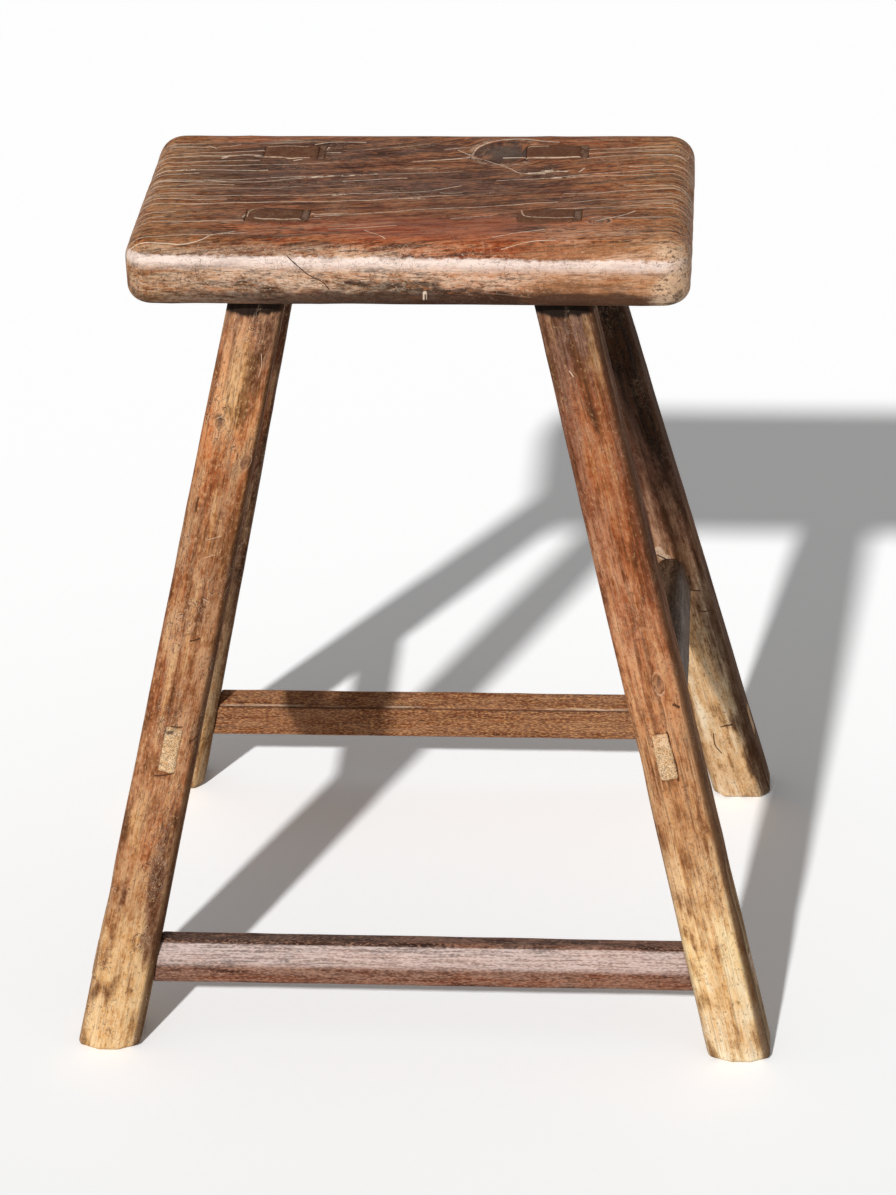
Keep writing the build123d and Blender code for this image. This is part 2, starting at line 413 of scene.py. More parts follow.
# %% [markdown]
# ## Stains and worn places
#
# Hands, feet, sun and dirt colour an old stool in patches with soft, ragged borders. Each patch is a
# soft spot at a place measured on the piece, and noise shakes its outline. Four kinds are kept at
# every point of the mesh, for the finishes to use: dark handled patina, warm red-brown glow, pale
# worn wood and black dirt. On some legs and stretchers a few dark and black spots are painted shade
# and shadow instead. A painted image would need unwrapping, and points are close enough here.

# %% Shake, stain and store
wide_shake, fine_shake, tremble = 5 * MM, 2 * MM, 0.9 * MM


def shaken(place, seed):
    """The same places, pushed about a little, which makes borders ragged."""
    moved = place.copy()
    for axis in range(3):
        moved[:, axis] += wide_shake * lattice_noise(place, (0.03, 0.012, 0.012), seed + axis)
        moved[:, axis] += fine_shake * lattice_noise(place, (0.009, 0.004, 0.004), seed + 3 + axis)
    return moved


def trembling(place, seed):
    """The same places, pushed by less than a millimetre, so that drawn lines tremble."""
    moved = place.copy()
    for axis in range(3):
        moved[:, axis] += tremble * lattice_noise(place, (0.012, 0.006, 0.006), seed + 300 + axis)
    return moved


def stained(place, spots):
    """Sum of soft spots: (along, across, out, their three reaches, strength), in mm."""
    total = np.zeros(len(place))
    for along, across, out, reach_along, reach_across, reach_out, strength in spots:
        gap = (place / MM - (along, across, out)) / (reach_along, reach_across, reach_out)
        total += strength * np.exp(-np.sum(gap**2, axis=1))
    return np.clip(total, 0, 1)


def store(mesh, name, values):
    """Keeps one number, vector or colour at every point of a mesh."""
    kinds = {1: ("FLOAT", "value"), 3: ("FLOAT_VECTOR", "vector"), 4: ("FLOAT_COLOR", "color")}
    kind, field = kinds[values.shape[1]]
    kept = mesh.attributes.new(name, kind, "POINT")
    kept.data.foreach_set(field, values.astype(np.float32).ravel())


print("drawn lines tremble by", tremble / MM, "mm")

# %% [markdown]
# ## Grain that flows round knots
#
# Fibres part round a knot like water round a stone. The fluid formula for a stream round a post says
# how far each fibre is pushed aside, and the finishes then draw straight grain in the pushed measures.

# %% Push the grain aside at knots
def sweep(along):
    """How far the seat's grain drifts across the plank, in mm."""
    return 24 * np.tanh((along + 10) / 140)


knot_depth = 14


def grain_of(node, place, knots):
    """Along, across and out, bent by knots: (along, across, out, reach along, reach across) in mm."""
    along, across, out = (place / MM).T
    bent = across.copy()
    if node == "seat_plank":
        bent -= sweep(along)
    for knot_along, knot_across, knot_out, reach_along, reach_across in knots:
        gap_along = (along - knot_along) / reach_along
        gap_across = (across - knot_across) / reach_across
        distance = np.maximum(np.hypot(gap_along, gap_across), 1)
        near = np.exp(-(((out - knot_out) / knot_depth) ** 2))
        bent -= near * reach_across * gap_across / distance**2
    bent += 1.6 * lattice_noise(place, (0.09, 0.03, 0.03), 71)
    return np.stack([along, bent, out], axis=1) * MM


print("the seat's grain drifts by", round(sweep(165) - sweep(-165)), "mm from end to end")

# %% [markdown]
# ## Thin marks on a coarse mesh
#
# Scratches and drying cracks are thinner than a facet, so a mask stored at the points would blur them.
# Instead each point keeps how far it lies to the left or right of the nearest stroke. That number
# changes evenly across a facet, so the finish finds the place where it passes through zero and draws a
# line there that is as thin as it likes. A second number says how near the stroke is, to end the line.

# %% Strokes and knots
TOP = (0, 1, 2, 0)  # axes of a stroke's corners, axis of its depth, and that depth in mm
OUTER = (0, 1, 2, 17)
INNER = (0, 1, 2, -17)
SEAT_FRONT = (0, 2, 1, -87)
RIGHT_SIDE = (0, 2, 1, 17)
TENON_TOP = (1, 2, 0, 508)


def smooth_run(corners, steps=4):
    """Points on a smooth curve through the corners."""
    corners = np.array(corners, float)
    ends = np.vstack([2 * corners[0] - corners[1], corners, 2 * corners[-1] - corners[-2]])
    points = [corners[0]]
    for before, start, end, after in zip(ends, ends[1:], ends[2:], ends[3:]):
        for share in np.linspace(0, 1, steps + 1)[1:]:
            bend = (end - before) * share + (2 * before - 5 * start + 4 * end - after) * share**2
            points.append(start + 0.5 * (bend + (3 * start - before - 3 * end + after) * share**3))
    return points


fading = 0.06
far = 9.0


def stroke_field(place, strokes):
    """Side and nearness of the nearest stroke. A stroke is (face, width, corner, corner, ...) in mm.

    Depth below the face counts little, so a stroke also shows where its face is hollowed or wavy. Far
    from every stroke both numbers stop at far.
    """
    side = np.full(len(place), far)
    near = np.full(len(place), 11 * far)
    for (first, second, depth, level), width, *corners in strokes:
        flat = place[:, (first, second)] / MM
        off_face = fading * (place[:, depth] / MM - level)
        run_points = smooth_run(corners)
        for start, end in zip(run_points, run_points[1:]):
            run = end - start
            gap = flat - start
            share = np.clip(gap @ run / (run @ run), 0, 1)
            distance = np.linalg.norm(gap - share[:, None] * run, axis=1)
            distance = np.hypot(distance, off_face) - width / 2
            across = (run[0] * gap[:, 1] - run[1] * gap[:, 0]) / np.linalg.norm(run)
            closer = distance < near
            near = np.where(closer, distance, near)
            side = np.where(closer, across * 2 / width, side)
    return np.clip(np.stack([side, near], axis=1), -far, far)


def knot_field(place, knots):
    """Distance to the nearest knot, 1 at its rim. A knot is (along, across, out, two reaches) in mm."""
    nearest = np.full(len(place), 3.0)
    for along, across, out, reach_along, reach_across in knots:
        gap = (place / MM - (along, across, out)) / (reach_along, reach_across, 16)
        nearest = np.minimum(nearest, np.linalg.norm(gap, axis=1))
    return nearest[:, None]


print("a run of three corners gets", len(smooth_run([(0, 0), (10, 5), (20, 0)])), "points")

# %% [markdown]
# ## What each piece has been through
#
# The lists below are the stool's own history, read off the photograph piece by piece: where it is
# dark, red, bare or dirty, where its knots are, and where it has been dented. A few dark and black
# spots also paint shade and shadow, and say so where they stand. Places are in mm along, across and
# out. Sides that the photograph does not show get the same kinds of wear.

# %% Stains of the seat
history = {}


def count_marks(node):
    """Prints how many marks of each kind a piece has."""
    print(node, {kind: len(marks) for kind, marks in history[node].items()})


history["seat_plank"] = {
    "dark": [
        (-88, -87, -24, 28, 8, 6, 0.75), (-20, 5, 0, 95, 26, 30, 0.85), (60, 18, 0, 60, 24, 30, 0.5),
        (-70, 22, 0, 40, 26, 30, 0.35), (0, 62, 0, 44, 12, 30, 0.45), (-114, 18, 0, 30, 32, 20, 1.2),
        (-120, -70, 0, 26, 9, 20, 0.95), (-73, -39, 0, 15, 8, 30, 1.2), (6, -54, 0, 18, 7, 30, 0.8),
        (60, -62, 0, 20, 5, 20, 1.1), (95, -20, 0, 24, 7, 20, 0.7), (112, -28, 0, 12, 6, 20, 0.6),
        (140, 62, 0, 26, 6, 20, 0.4), (-46, 58, 0, 54, 15, 20, 1.2), (-118, 2, 0, 24, 9, 20, 0.5),
        (50, 53, 0, 24, 10, 20, 0.7),
    ],
    "warm": [
        (0, -74, 0, 74, 12, 16, 1.2), (70, -70, 0, 60, 12, 16, 1.2), (44, -38, 0, 20, 9, 20, 0.8),
        (106, -42, 0, 8, 7, 16, 0.9), (142, -36, 0, 24, 34, 20, 0.8), (-90, 68, 0, 70, 14, 20, 0.8),
        (118, 68, 0, 40, 10, 20, 0.6), (-84, -62, 0, 34, 8, 20, 0.8), (130, 30, 0, 30, 20, 20, 0.4),
        (110, 10, 0, 44, 30, 20, 0.4), (-70, -60, 0, 50, 9, 20, 0.7), (116, -60, 0, 44, 12, 14, 0.8),
        (-40, -58, 0, 26, 8, 14, 0.5),
    ],
    "worn": [
        (-115, -87, -18, 54, 8, 9, 0.7), (-60, -86, -16, 40, 8, 7, 0.55), (-24, -87, -20, 44, 8, 9, 1.4),
        (112, -74, 0, 46, 9, 14, 0.55), (50, -86, -18, 90, 8, 9, 1.1), (140, -86, -17, 30, 8, 13, 0.9),
        (152, -80, -16, 26, 24, 20, 1.2), (100, -64, 0, 44, 8, 14, 0.4), (-120, -87, -32, 60, 8, 4, 0.4),
        (-160, -30, -4, 8, 60, 12, 0.6), (160, 20, -4, 8, 60, 12, 0.5), (0, 86, -10, 160, 8, 10, 0.5),
        (-120, -36, 0, 24, 10, 12, 0.35), (130, 30, 0, 20, 26, 12, 0.35),
    ],
    "black": [
        (-115, 24, 0, 24, 32, 16, 0.55), (-45, 60, 0, 50, 13, 16, 0.55), (-34, -87, -33, 30, 12, 7, 1.1),
        (16, -87, -32, 26, 12, 7.5, 1.2), (70, -87, -33, 40, 12, 7, 1.1),
        (-90, -87, -34, 34, 12, 6, 0.95), (120, -87, -34, 24, 12, 6, 0.9),
        (-140, -87, -33, 20, 12, 6, 0.75), (-100, -87, -24, 14, 12, 5, 0.45),
        (0, 0, -44, 190, 110, 6, 0.55), (0, 87, -30, 160, 10, 7, 0.6), (-163, 0, -28, 8, 80, 8, 0.6),
        (163, 0, -20, 7, 80, 14, 0.7),
    ],
}
count_marks("seat_plank")

# %% Knots, scratches and cracks of the seat
history["seat_plank"] |= {
    "knots": [(50, 53, 0, 17, 15), (110, -50, 0, 6, 5)],
    "pale strokes": [
        (TOP, 0.5, (-165, 21), (-150, 22), (-134, 24)),
        (TOP, 0.4, (-80, 15), (-54, 20), (0, 25), (25, 27)),
        (TOP, 0.5, (-165, 6), (-125, 6), (-92, 9), (-56, 18)),
        (TOP, 0.6, (-165, -17), (-149, -17), (-123, -14), (-71, -10), (-30, -6), (3, -2), (26, 6)),
        (TOP, 0.7, (-165, -28), (-149, -28), (-124, -26), (-76, -20), (-29, -16), (3, -11)),
        (TOP, 0.7, (-62, -39), (-38, -37), (-15, -35), (5, -30), (29, -27), (66, -21), (83, -19)),
        (TOP, 0.7, (-165, -55), (-145, -53), (-113, -51), (-96, -50), (-73, -49), (-60, -48)),
        (TOP, 0.6, (-165, -79), (-140, -80), (-129, -81), (-120, -79), (-111, -73), (-100, -66)),
        (TOP, 0.5, (21, 56), (33, 46), (49, 34), (61, 24), (74, 23)),
        (TOP, 0.5, (47, 13), (74, 16), (110, 18), (165, 19)),
        (TOP, 0.6, (123, 4), (141, 2), (165, 1)),
        (TOP, 0.6, (97, 43), (121, 46), (143, 48), (165, 46)),
        (TOP, 0.8, (108, -50), (122, -43), (130, -37)),
        (TOP, 0.6, (51, -73), (65, -67), (78, -63)),
        (TOP, 0.5, (56, -82), (72, -77), (86, -76)),
        (TOP, 0.5, (-24, -63), (-17, -70), (-11, -76)),
        (TOP, 1.2, (-61, -43), (-58, -38)),
        (TOP, 0.7, (-97, -44), (-94, -33), (-84, -31)),
        (TOP, 0.9, (64, -33), (65, -38), (68, -43), (78, -46), (98, -46)),
        (TOP, 0.6, (68, -31), (97, -30)),
        (TOP, 1.1, (50, 45), (62, 46), (80, 45), (94, 45)),
        (TOP, 1.3, (93, 58), (95, 51)),
        (TOP, 0.9, (30, 50), (34, 62), (46, 70), (62, 70), (80, 66)),
        (TOP, 1.2, (73, 27), (78, 28)),
        (TOP, 1.0, (82, 27), (87, 26)),
        (TOP, 0.7, (95, 26), (98, 29)),
        (TOP, 0.7, (-100, 45), (-84, 45), (-70, 45)),
        (TOP, 0.7, (-92, 59), (-72, 59)),
        (TOP, 1.8, (-66, 56), (-64, 50)),
        (TOP, 1.0, (-57, 59), (-60, 55)),
        (TOP, 0.9, (-76, 40), (-72, 42)),
        (TOP, 1.4, (-120, 42), (-116, 45)),
        (TOP, 0.8, (-130, 60), (-126, 56)),
        (SEAT_FRONT, 2.2, (11.5, -30), (11.5, -33)),
    ],
    "dark strokes": [
        (SEAT_FRONT, 0.6, (-66, -8), (-57, -17), (-49, -22), (-44, -27)),
        (SEAT_FRONT, 0.8, (11.8, -31), (11.8, -36)),
        (TOP, 1.0, (-62, -31), (-85, -30)),
        (TOP, 0.8, (62, -44), (70, -48), (98, -49)),
        (TOP, 1.4, (92, 58), (93, 53)),
        (TOP, 0.5, (-30, -70), (-6, -72), (14, -70)),
    ],
}
count_marks("seat_plank")

# %% [markdown]
# ## More pale lines
#
# Between the lines that the photograph shows clearly there are many faint ones. They are drawn at
# random but always alike, because the seed is fixed, and they keep to the drift of the grain.

# %% Long pale lines over the seat
grain_draws = np.random.default_rng(11)
lines = history["seat_plank"]["pale strokes"]
left_end, right_end = -165, 165
line_y = -56
while line_y < 78:
    runs = []
    if grain_draws.random() < 0.7:
        runs.append((left_end, grain_draws.uniform(-145, -40)))
    if grain_draws.random() < 0.6:
        runs.append((grain_draws.uniform(70, 145), right_end))
    if grain_draws.random() < 0.4:
        middle = grain_draws.uniform(-70, 100)
        runs.append((middle, middle + grain_draws.uniform(10, 40)))
    for start, end in runs:
        stops = np.linspace(start, end, 3 + int((end - start) // 35))
        across = line_y + sweep(stops) + grain_draws.normal(0, 0.7, len(stops))
        lines.append((TOP, grain_draws.uniform(0.4, 0.8), *zip(stops, across)))
    line_y += grain_draws.uniform(4, 9)
print(len(lines), "pale lines on the seat")

# %% History of the front left leg
history["front_left_leg"] = {
    "dark": [
        # The dark spot at 462 mm, just under the seat, is painted shadow of the seat.
        (448, 12, 14, 22, 6, 20, 0.95), (462, 0, 14, 8, 20, 20, 0.6), (125, 11, 14, 40, 8, 16, 1.1),
        (90, 12, 14, 20, 7, 14, 0.7), (372, 14, 16, 9, 8, 12, 0.6), (344, 5, 18, 6, 3, 8, 0.8),
        (345, -11, 16, 12, 3, 10, 0.5), (212, 13, 14, 6, 5, 10, 0.8), (40, -12, 14, 12, 6, 12, 0.3),
        (124, -15, 12, 8, 5, 10, 0.3), (396, -6, 18, 8, 6, 8, 0.5), (300, 0, -18, 120, 20, 10, 0.6),
        (508, 6, -6, 12, 11, 12, 1.1), (74, 10, 15, 10, 5, 10, 0.5), (62, 14, 12, 18, 4, 10, 0.7),
        (102, -12, 12, 10, 6, 12, 0.55), (30, 4, 14, 20, 3, 10, 0.5), (56, -4, 16, 14, 3, 10, 0.5),
        (366, 8, 17, 8, 7, 10, 0.7), (455, -14, 14, 12, 5, 12, 0.7), (106, -13, 14, 16, 6, 12, 0.35),
        (53, 7, 15, 12, 6, 12, 0.4), (34, -12, 14, 16, 8, 12, 0.3),
    ],
    "warm": [
        (425, -14, 12, 34, 6, 14, 0.95), (386, 9, 16, 9, 6, 12, 0.9), (139, 0, 16, 24, 7, 14, 0.6),
        (160, 12, 12, 24, 6, 14, 0.6), (300, -13, 12, 40, 6, 14, 0.6), (360, -8, 14, 30, 7, 14, 0.5),
        (240, -14, 12, 30, 6, 12, 0.7), (350, 0, -18, 100, 20, 12, 0.5),
    ],
    "worn": [
        (440, -2, 17, 24, 8, 10, 0.6), (405, -3, 17, 26, 9, 10, 0.8), (322, 5, 17, 16, 9, 10, 0.35),
        (70, 0, 14, 26, 14, 20, 0.85), (20, 0, 0, 26, 40, 40, 0.8), (150, -8, 16, 30, 6, 12, 0.8),
        (240, 15, 10, 70, 4, 12, 0.4),
    ],
    "black": [(396, -6, 18, 2.5, 2.5, 8, 0.9), (0, 0, 0, 3, 40, 40, 0.4), (72, 15, 10, 8, 3, 10, 0.6)],
    "knots": [(396, -6, 17, 3.5, 3), (372, 13, 17, 4, 3)],
    "dents": [(71, 7, 17, 9, -0.9), (62, 11, 15, 7, 0.8), (200, 18, 12, 6, 0.8), (100, -18, 12, 14, 0.7)],
    "pale strokes": [
        (OUTER, 0.35, (326, -1), (328, 7)), (OUTER, 0.3, (315, 0), (316.5, 5)),
        (OUTER, 0.3, (290, 4), (288, 7)), (OUTER, 0.4, (436, 9), (429, 10.5), (423, 10)),
        (TENON_TOP, 1.4, (-10, 0.5), (4, 1.4), (15, 1.0)),
        (TENON_TOP, 0.8, (-16, -2), (-15, -12), (-8, -15)),
    ],
    "dark strokes": [
        (OUTER, 0.9, (200, 13.5), (205, 19)), (OUTER, 0.7, (291, 26), (279, 28)),
        (OUTER, 1.0, (265, 2), (266, 5)), (OUTER, 0.7, (211, 0), (211, 6)),
        (OUTER, 0.8, (181, 6), (180.5, -3)), (OUTER, 0.8, (343, -11), (350, -11)),
    ],
}
count_marks("front_left_leg")

# %% History of the front right leg
history["front_right_leg"] = {
    "dark": [
        (452, -9, 14, 18, 7, 20, 0.9), (424, -11, 14, 20, 4, 14, 0.6), (404, 1, 18, 34, 2.5, 10, 0.7),
        (452, 13, 12, 16, 4, 12, 0.8), (241, 5, 18, 8, 5, 10, 0.5), (136, 6, 16, 22, 9, 14, 0.35),
        # The long dark spots along the left edge, at -14 and -16 mm across, are partly painted shade at the
        # rounded edge and partly dark patina.
        (100, -10, 15, 26, 8, 14, 0.4), (180, -14, 12, 70, 5, 14, 0.5), (360, -16, 8, 90, 3, 12, 0.6),
        (300, 0, -18, 120, 20, 10, 0.7),
    ],
    "warm": [
        (380, 0, 14, 56, 16, 24, 0.9), (300, 4, 14, 44, 12, 20, 0.6), (240, 10, 14, 30, 6, 14, 0.5),
        (190, 10, 12, 30, 5, 12, 0.5),
    ],
    "worn": [
        (450, 9, 17, 20, 5, 10, 0.6), (424, 8, 17, 14, 3, 10, 0.4), (268, 2, 17, 26, 6, 10, 0.35),
        (160, -8, 16, 30, 6, 12, 0.4), (70, 0, 14, 36, 16, 24, 0.8), (20, 0, 0, 30, 40, 40, 0.85),
        (210, -12, 14, 20, 5, 10, 0.4),
    ],
    "black": [(241, 5, 18, 4, 2.4, 8, 0.8), (0, 0, 0, 3, 40, 40, 0.35)],
    "knots": [(241, 5, 17, 6, 3.2)],
    "dents": [(190, -20, 8, 16, 0.7), (110, 20, 6, 18, 0.8)],
    "pale strokes": [
        (OUTER, 0.8, (428, -4), (426, -3)),
        (TENON_TOP, 1.0, (-15, -13), (-14, -8), (-11, -3), (-1, -0.6), (17, -0.8)),
        (TENON_TOP, 0.7, (-11, -15), (17, -15.5)),
    ],
    "dark strokes": [
        (OUTER, 1.0, (211, 3.2), (182, 3.2)), (OUTER, 0.8, (202, -7), (202, 2)),
        (OUTER, 1.6, (227, 11.4), (226, 12.5)),
    ],
}
count_marks("front_right_leg")

# %% History of the rear left leg
history["rear_left_leg"] = {
    "dark": [
        (440, 0, 0, 50, 40, 40, 0.8), (300, 14, 0, 40, 8, 30, 0.5), (215, 12, 0, 16, 8, 30, 0.7),
        (150, -8, 0, 30, 8, 30, 0.5),
    ],
    "warm": [(340, 0, 0, 80, 40, 40, 0.8), (180, 8, 10, 40, 10, 20, 0.5)],
    "worn": [
        (30, 0, 0, 40, 40, 40, 0.9), (290, 16, -6, 12, 6, 20, 0.6), (236, 16, -4, 10, 5, 20, 0.7),
        (90, 14, 0, 26, 8, 30, 0.6),
    ],
    "black": [(0, 0, 0, 3, 40, 40, 0.4), (330, -12, 0, 12, 6, 20, 0.4)],
    "knots": [(225, 10, -12, 8, 5), (340, 0, 16, 7, 5), (120, 2, 16, 8, 5)],
    "dents": [(160, 0, 18, 14, 0.8), (270, -14, 10, 12, 0.7)],
    "pale strokes": [
        (RIGHT_SIDE, 0.8, (290, -8), (283, -4)), (RIGHT_SIDE, 0.7, (236, -8), (226, -6)),
        (TENON_TOP, 0.7, (-16, -2), (10, -2.2)), (TENON_TOP, 0.7, (-15, 13), (8, 13.5)),
    ],
    "dark strokes": [(OUTER, 0.8, (300, 2), (240, 3))],
}
count_marks("rear_left_leg")

# %% History of the rear right leg
history["rear_right_leg"] = {
    # Painted shadow: the dark spots down the right side, from 16 to 20 mm across, stand for the shadow of the
    # front right leg, over darker wood.
    "dark": [
        (440, 0, 0, 60, 40, 40, 0.9), (330, 6, -6, 60, 12, 30, 0.6), (240, 10, 8, 20, 10, 20, 0.5),
        (66, 8, -16, 16, 6, 14, 0.35), (160, 16, -4, 60, 11, 26, 1.1), (80, 18, -4, 60, 9, 26, 1.1),
        (20, 20, -4, 40, 7, 26, 0.8),
    ],
    "warm": [(340, -8, -10, 60, 12, 20, 0.7), (240, 12, 8, 60, 12, 20, 0.5)],
    "worn": [
        (110, -4, -12, 90, 26, 26, 0.95), (20, 0, 0, 30, 40, 40, 0.8), (212, -4, -16, 8, 5, 12, 0.9),
    ],
    "black": [
        (190, 8, -16, 10, 2, 10, 0.8), (210, 4, -17, 3, 3, 8, 0.7), (0, 0, 0, 3, 40, 40, 0.4),
        # Painted shade: the two black spots below, high on the right side and on the inner face.
        (350, 16, -8, 100, 12, 24, 1.2), (400, 4, -16, 70, 22, 12, 1.0),
    ],
    "knots": [(300, 0, 16, 8, 5)],
    "dents": [(66, 4, -18, 6, 1.2), (45, -2, -18, 7, 1.0), (36, 8, -17, 5, 1.1), (178, 8, -16, 6, 1.2)],
    "pale strokes": [
        (INNER, 5.0, (218, -5), (213, -4)), (INNER, 3.5, (212, -1), (204, 0)),
        (INNER, 4.0, (262, -12), (259, -12)), (TENON_TOP, 1.3, (-17, -1.5), (0, -1.9), (15, -1.5)),
        (TENON_TOP, 0.8, (-16, 13), (-4, 14)),
    ],
    "dark strokes": [
        (INNER, 1.4, (214, -6), (209, -1)), (INNER, 1.2, (66, 1), (68, 7)), (INNER, 1.0, (186, 4), (184, 12)),
        (INNER, 0.8, (168, 8), (166, 15)), (INNER, 0.8, (60, -6), (50, -7), (42, -5)),
    ],
}
count_marks("rear_right_leg")

# %% History of the stretchers and wedges
low_tenon_end, side_tenon_end = 203, 130


def bare_ends(end):
    """Bare end grain on the tenons at both ends of a stretcher."""
    return [(side * end, 0, 0, 9, 40, 40, 1.5) for side in (-1, 1)]


history["front_stretcher"] = {
    "dark": [(-130, 6, 8, 90, 10, 12, 0.7), (0, 14, 0, 260, 4, 20, 0.9), (60, 4, 9, 60, 5, 12, 0.4)],
    "warm": [(60, -9, 8, 160, 6, 14, 0.8), (-120, -13, 6, 60, 5, 12, 0.7), (130, 0, 9, 60, 12, 12, 0.5)],
    # The worn band along the upper front, at 8 mm across, is partly painted highlight.
    "worn": [(0, 8, 8, 200, 5, 8, 0.35), *bare_ends(low_tenon_end)],
    "black": [(0, -14, 0, 220, 3, 10, 0.5)],
}
history["rear_stretcher"] = {
    # The thin dark spot along the top front edge, at 14 mm across, is painted shade.
    "dark": [(-60, 0, 0, 60, 16, 20, 0.35), (0, 14, -9, 220, 2.5, 3, 0.6)],
    "warm": [(-140, 0, 0, 50, 16, 20, 0.7), (100, 12, 0, 100, 5, 14, 0.4)],
    "worn": [(60, -3, -9, 110, 9, 8, 0.4), *bare_ends(low_tenon_end)],
    "black": [(0, -14, 0, 220, 3, 10, 0.5)],
}
for node in ("left_stretcher", "right_stretcher"):
    history[node] = {
        "dark": [(0, 12, 0, 60, 8, 16, 0.7), (-50, 0, 0, 25, 10, 14, 0.5)],
        "warm": [(30, -4, 0, 60, 10, 14, 0.5)],
        "worn": [(10, 15, 0, 60, 4, 8, 0.4), *bare_ends(side_tenon_end)],
        "black": [(0, -15, 0, 80, 3, 10, 0.5)],
        "dents": [(-20, 14, 0, 16, 0.6)],
    }
history["right_stretcher_wedge"] = {"worn": [(-side_tenon_end, 0, 0, 60, 60, 60, 1.5)]}
print(len(history), "pieces have a history")

# %% Carve every piece and store its measures
facet_sizes = {"wedge": 0.6 * MM, "seat_plank": 1.3 * MM, "leg": 1.3 * MM, "stretcher": 1.2 * MM}
waves, scoops = 0.4 * MM, 0.35 * MM
pieces = {}
for number, node in enumerate(sorted(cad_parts)):
    facet = next(size for kind, size in facet_sizes.items() if kind in node)
    past = history.get(node, {})
    knots = past.get("knots", [])
    piece = remeshed_copy(node, node + "_wood", facet)
    wear(node, piece, waves, scoops, past.get("dents", []), 10 * number)
    place = measures(node, get_points(piece.data))
    ragged = shaken(place, 100 + 10 * number)
    drawn = trembling(place, number)
    tones = [stained(ragged, past.get(tone, [])) for tone in ("dark", "warm", "worn", "black")]
    strokes = [stroke_field(drawn, past.get(shade, [])) for shade in ("pale strokes", "dark strokes")]
    apart = np.array([0.37, 0.19, 0.53]) * number
    store(piece.data, "place", place)
    store(piece.data, "grain", grain_of(node, place, knots) + apart)
    store(piece.data, "tones", np.stack(tones, axis=1))
    store(piece.data, "strokes", np.hstack(strokes))
    store(piece.data, "knot", knot_field(drawn, knots))
    pieces[node] = piece
    print(piece.name, len(piece.data.polygons), "faces")

# %% [markdown]
# ## Old wood as one recipe
#
# All the pieces are the same kind of timber, so their finishes share one recipe. Old oil and dirt lie
# on wood like a coloured filter, and a filter twice as thick squares the colour. So one set of noises,
# from long streaks to small crinkles, gives the thickness of that layer, and the colour is raised to
# it as a power: thick places turn dark and red, thin places turn pale, as on the real stool. The same
# noises also raise the surface, because colour and relief that agree look like one material.

# %% Old wood and its noises
pale = colour(0.66, 0.47, 0.33)


def tint_set(**tints):
    """Named colours for one finish."""
    return {name: colour(*tint) for name, tint in tints.items()}


class Wood(Recipe):
    """Old wood: layers are added to its colour, its roughness, and its height in metres."""

    def __init__(self, name, tints, fibre, relief=0.5):
        super().__init__(bpy.data.materials.new(name))
        self.tints = tints
        self.grain = self.read("grain")
        self.place = self.read("place")
        self.along, self.across, self.out = self.node("SeparateXYZ", {0: self.place}).node.outputs
        along, across = 1000 / fibre[0], 1000 / fibre[1]
        self.fibre = self.noise(self.grain, (along, across, across), 3, 0.6)
        self.streak = self.noise(self.grain, (along / 1.8, across / 4.5, across / 4.5), 3, 0.6)
        self.pores = self.noise(self.grain, (along * 5, across * 1.7, across * 1.7), 1)
        self.mottle = self.noise(self.place, (45, 105, 105), 6, 0.65)
        self.crinkle = self.noise(self.place, (250, 420, 420), 3, 0.65)
        self.fine = self.noise(self.place, (900, 1200, 1200), 2)
        self.colour = tints.get("mid")
        self.roughness = self.total(((self.mottle, 0.5), (self.fine, 0.2)), 0.55)
        height = self.total(((self.mottle, 0.0009), (self.crinkle, 0.00028), (self.fibre, 0.00022)), 0.0)
        self.height = self.product(height, relief)

    def lay(self, tint, *shares):
        """Lays a colour over what is there, as strongly as the product of the shares."""
        self.colour = self.paint(self.colour, tint, self.product(*shares))

    def darken(self, *shares):
        """Lets the deep colour of pores and old dirt through."""
        self.lay(self.tints["deep"], *shares)

    def shine(self, roughness, amount):
        """Moves the roughness towards a value."""
        gap = self.calc("SUBTRACT", roughness, self.roughness)
        self.roughness = self.calc("MULTIPLY_ADD", gap, amount, self.roughness)

    def sink(self, amount, depth):
        """Lowers the surface by a depth in metres, or raises it where the depth is below zero."""
        self.height = self.calc("MULTIPLY_ADD", amount, -depth, self.height)


print("pale worn wood is", pale)

# %% [markdown]
# ## Tones, streaks and the dirty layer
#
# The first layers are broad. A ramp gives a leg its change from top to foot. The stored tones are laid
# over it in the order in which they came: warm patina, worn places, dark hands, black dirt, with some
# painted shade and shadow among the dark and black ones. Noise is added to each value before it is
# cut to a band, so every border is as ragged as the grain.

# %% Ramp, stains, streaks and thickness
def ramp_along(wood, stops):
    """Colours that change along the piece, with borders pulled about by the grain."""
    drift = wood.total(((wood.streak, 0.11), (wood.mottle, 0.11)), wood.along)
    tints = [(position, colour(*tint)) for position, tint in stops]
    wood.colour = wood.ramp(wood.calc("DIVIDE", drift, stool_height), tints)


def stain(wood, borders=(0.3, 0.8), polish=()):
    """The stored tones with ragged borders. A polished tone also has a roughness of its own."""
    stored = wood.read("tones", "Color")
    dark, warm, bare = wood.node("SeparateColor", {0: stored}).node.outputs
    black = stored.node.outputs["Alpha"]
    for tone, value, strength in (
        ("warm", warm, 0.8), ("worn", bare, 0.85), ("dark", dark, 0.88), ("black", black, 0.92),
    ):
        edge = wood.total(((wood.mottle, 1.3), (wood.streak, 0.9), (wood.fibre, 0.4)), value)
        amount = wood.product(wood.band(edge, *borders), strength)
        wood.lay(wood.tints[tone], amount)
        if tone in polish:
            wood.shine(polish[tone], amount)


